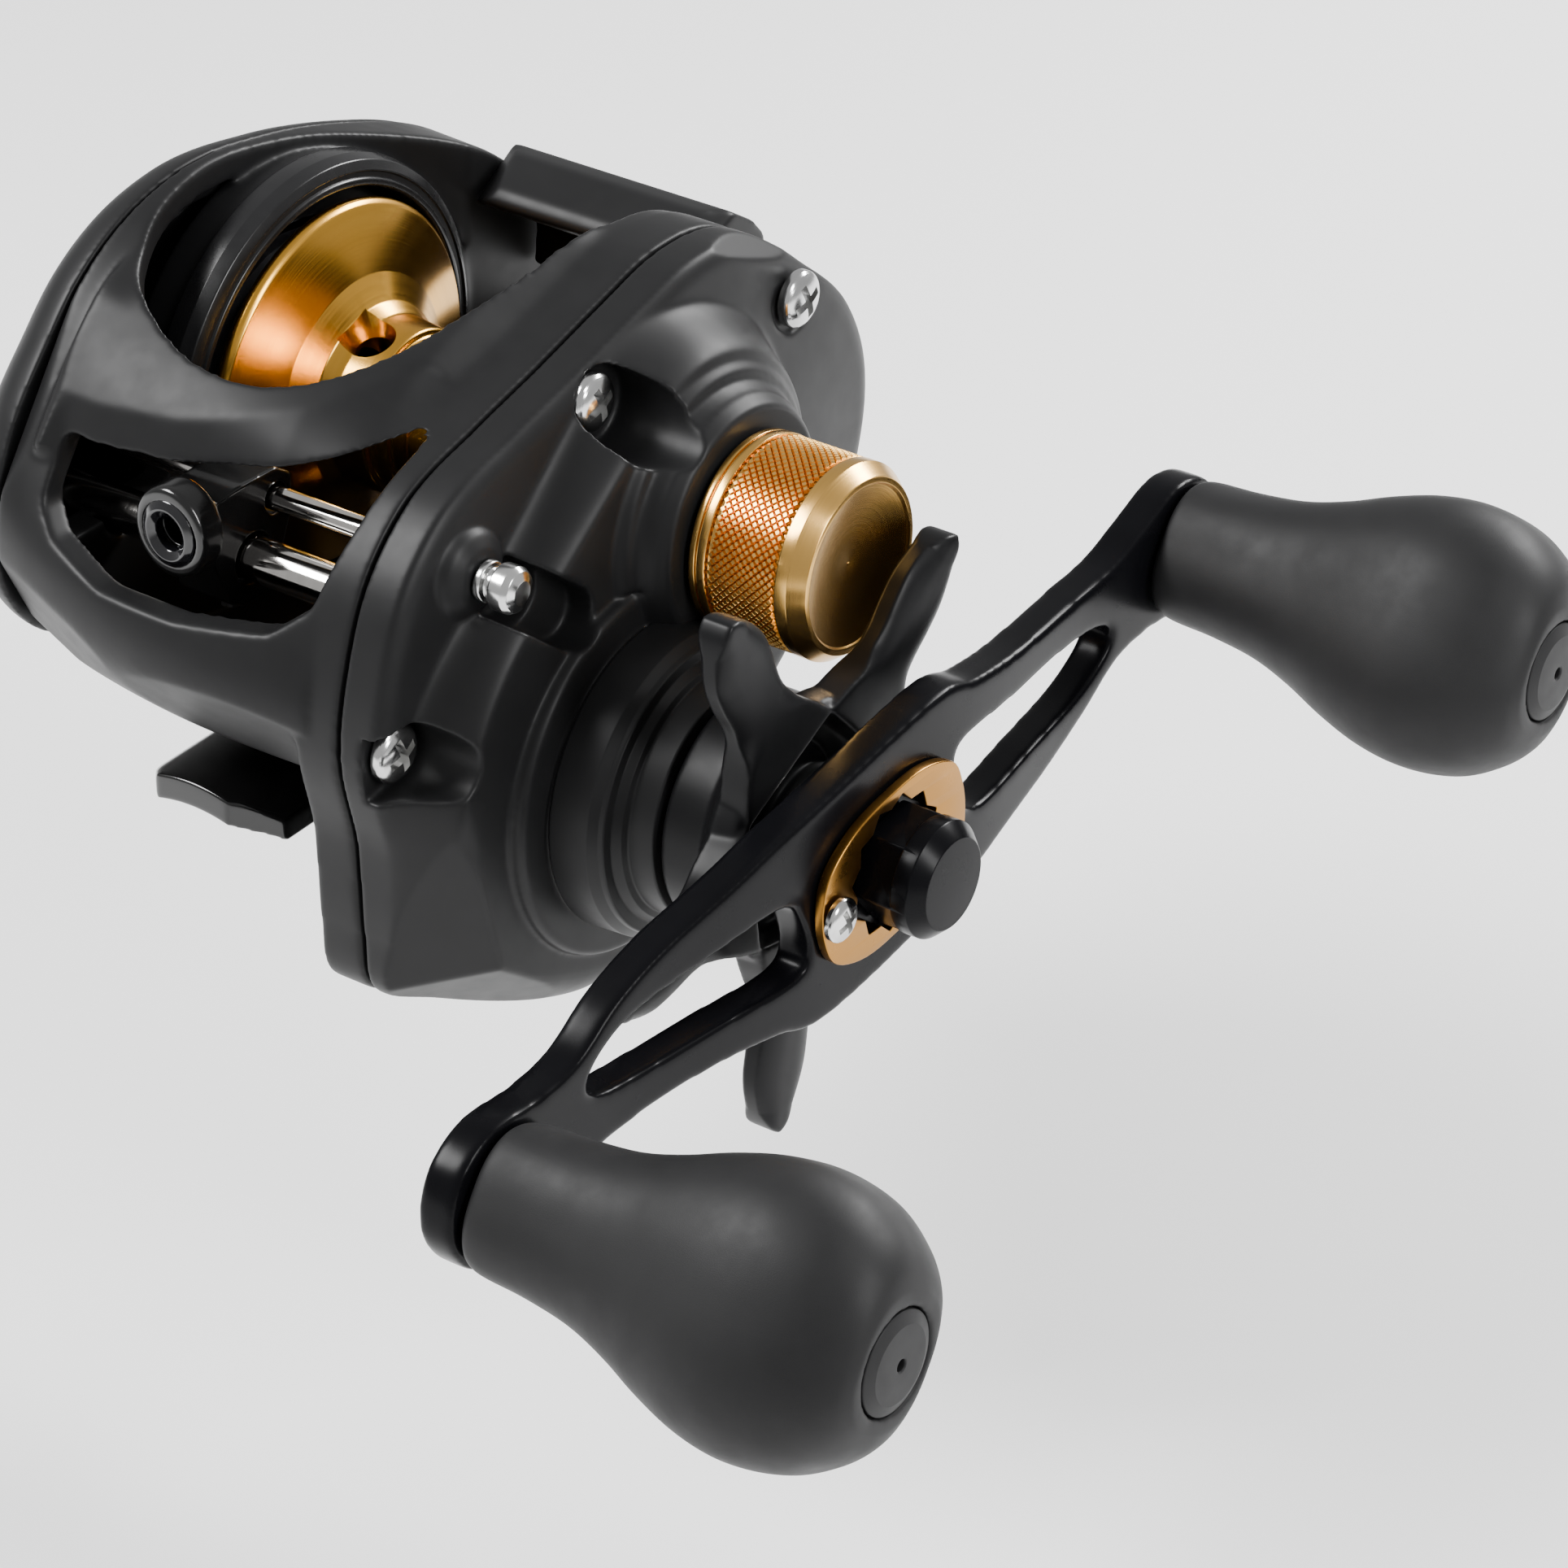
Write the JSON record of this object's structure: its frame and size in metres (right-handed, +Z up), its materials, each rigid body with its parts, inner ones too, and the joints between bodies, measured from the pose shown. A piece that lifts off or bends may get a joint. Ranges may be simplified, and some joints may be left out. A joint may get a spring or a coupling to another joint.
{
  "type": "baitcasting reel",
  "caption": "Low-profile baitcasting fishing reel with a spool, level wind, star drag, double-paddle crank and rod foot.",
  "frame": {"origin": "centre of the reel foot's underside, straight below the spool axis, on the flat middle facet that rests on the rod seat", "axes": "+X is the handle side along the spool axis, -Y the front where the line leaves, +Z up, away from the rod"},
  "size_m": [0.1146, 0.1142, 0.0669],
  "materials": {
    "body_satin_black": "satin soft-touch charcoal black",
    "black_anodised": "semi-gloss black anodised",
    "gloss_black": "gloss black moulded",
    "gold_anodised": "satin gold anodised, turned",
    "stainless": "bright steel",
    "plated_bar": "polished nickel",
    "brass": "machined",
    "knob_rubber": "matte soft-touch",
    "grey_acetal": "moulded",
    "carbon": "woven friction washer",
    "ceramic": "polished black ring"
  },
  "bodies": {
    "frame_body": {"frame": "body_satin_black", "gear_side_cover": "body_satin_black", "palm_side_cover": "body_satin_black", "reel_foot": "black_anodised", "foot_screw_1": "stainless", "foot_screw_2": "stainless", "cover_screw_top": "stainless", "cover_screw_rear": "stainless", "cover_screw_front": "stainless", "hook_keeper": "stainless", "palm_spool_bearing": "stainless", "handle_side_spool_bearing": "stainless", "pinion_bearing": "stainless", "drive_shaft_bearing": "stainless", "one_way_bearing": "stainless", "worm_guard_tube": "plated_bar", "guide_bar": "plated_bar", "tension_o_ring": "knob_rubber", "magnet_carrier": "grey_acetal", "brake_magnet_ring": "stainless"},
    "crank": {"drive_shaft": "stainless", "main_gear": "brass", "level_wind_drive_gear": "grey_acetal", "return_ratchet": "stainless", "drag_washer": "carbon", "drag_pressure_plate": "stainless", "bearing_sleeve": "stainless", "drag_spring_washer": "stainless", "handle_arm": "black_anodised", "handle_nut": "black_anodised", "nut_retainer": "gold_anodised", "retainer_screw": "stainless", "knob_post_1": "stainless", "knob_post_2": "stainless"},
    "star": {"star_drag": "black_anodised"},
    "knob_a": {"knob_1": "knob_rubber", "knob_cap_1": "gloss_black"},
    "knob_b": {"knob_2": "knob_rubber", "knob_cap_2": "gloss_black"},
    "spool_body": {"spool": "gold_anodised", "spool_shaft": "stainless", "shaft_cross_pin": "stainless"},
    "yoke": {"clutch_yoke": "grey_acetal", "yoke_spring_1": "stainless", "yoke_spring_2": "stainless"},
    "pinion_body": {"pinion": "brass"},
    "thumb": {"thumb_bar": "body_satin_black", "clutch_lever": "stainless"},
    "tension": {"tension_knob": "gold_anodised", "tension_shim": "stainless"},
    "dial": {"brake_dial": "black_anodised"},
    "worm": {"worm_shaft": "stainless", "worm_gear": "grey_acetal"},
    "carriage": {"line_guide": "gloss_black", "guide_ring": "ceramic", "level_wind_pawl": "brass", "pawl_cap": "stainless"}
  },
  "joints": [
    {"name": "handle_spin", "type": "hinge", "parent": "frame_body", "child": "crank", "pos_m": [0, -0.0109, 0.0027], "axis": [1, 0, 0], "continuous": true},
    {"name": "star_drag_turn", "type": "hinge", "parent": "crank", "child": "star", "pos_m": [0, -0.0109, 0.0027], "axis": [1, 0, 0], "range_deg": [-270, 270]},
    {"name": "knob_1_spin", "type": "hinge", "parent": "crank", "child": "knob_a", "pos_m": [0, 0.03619, 0.0089], "axis": [1, 0, 0], "continuous": true},
    {"name": "knob_2_spin", "type": "hinge", "parent": "crank", "child": "knob_b", "pos_m": [0, -0.05799, -0.0035], "axis": [1, 0, 0], "continuous": true},
    {"name": "spool_spin", "type": "hinge", "parent": "frame_body", "child": "spool_body", "pos_m": [0, 0, 0.021], "axis": [1, 0, 0], "continuous": true},
    {"name": "thumb_bar_press", "type": "slide", "parent": "frame_body", "child": "thumb", "axis": [0, 0, -1], "range_m": [0, 0.0045]},
    {"name": "clutch_yoke_slide", "type": "slide", "parent": "frame_body", "child": "yoke", "axis": [1, 0, 0], "range_m": [0, 0.0018]},
    {"name": "pinion_spin", "type": "hinge", "parent": "yoke", "child": "pinion_body", "pos_m": [0, 0, 0.021], "axis": [1, 0, 0], "continuous": true},
    {"name": "tension_knob_turn", "type": "hinge", "parent": "frame_body", "child": "tension", "pos_m": [0, 0, 0.021], "axis": [1, 0, 0], "range_deg": [-270, 270]},
    {"name": "brake_dial_turn", "type": "hinge", "parent": "frame_body", "child": "dial", "pos_m": [0, 0, 0.021], "axis": [-1, 0, 0], "range_deg": [-135, 135]},
    {"name": "worm_spin", "type": "hinge", "parent": "frame_body", "child": "worm", "pos_m": [0, -0.0263, 0.0204], "axis": [1, 0, 0], "continuous": true},
    {"name": "line_guide_slide", "type": "slide", "parent": "frame_body", "child": "carriage", "axis": [1, 0, 0], "range_m": [-0.0075, 0.0095]}
  ],
  "couplings": [
    {"joint": "spool_spin", "follows": "handle_spin", "ratio": -7},
    {"joint": "pinion_spin", "follows": "handle_spin", "ratio": -7},
    {"joint": "worm_spin", "follows": "handle_spin", "ratio": -2.75},
    {"joint": "clutch_yoke_slide", "follows": "thumb_bar_press", "ratio": 0.4}
  ]
}
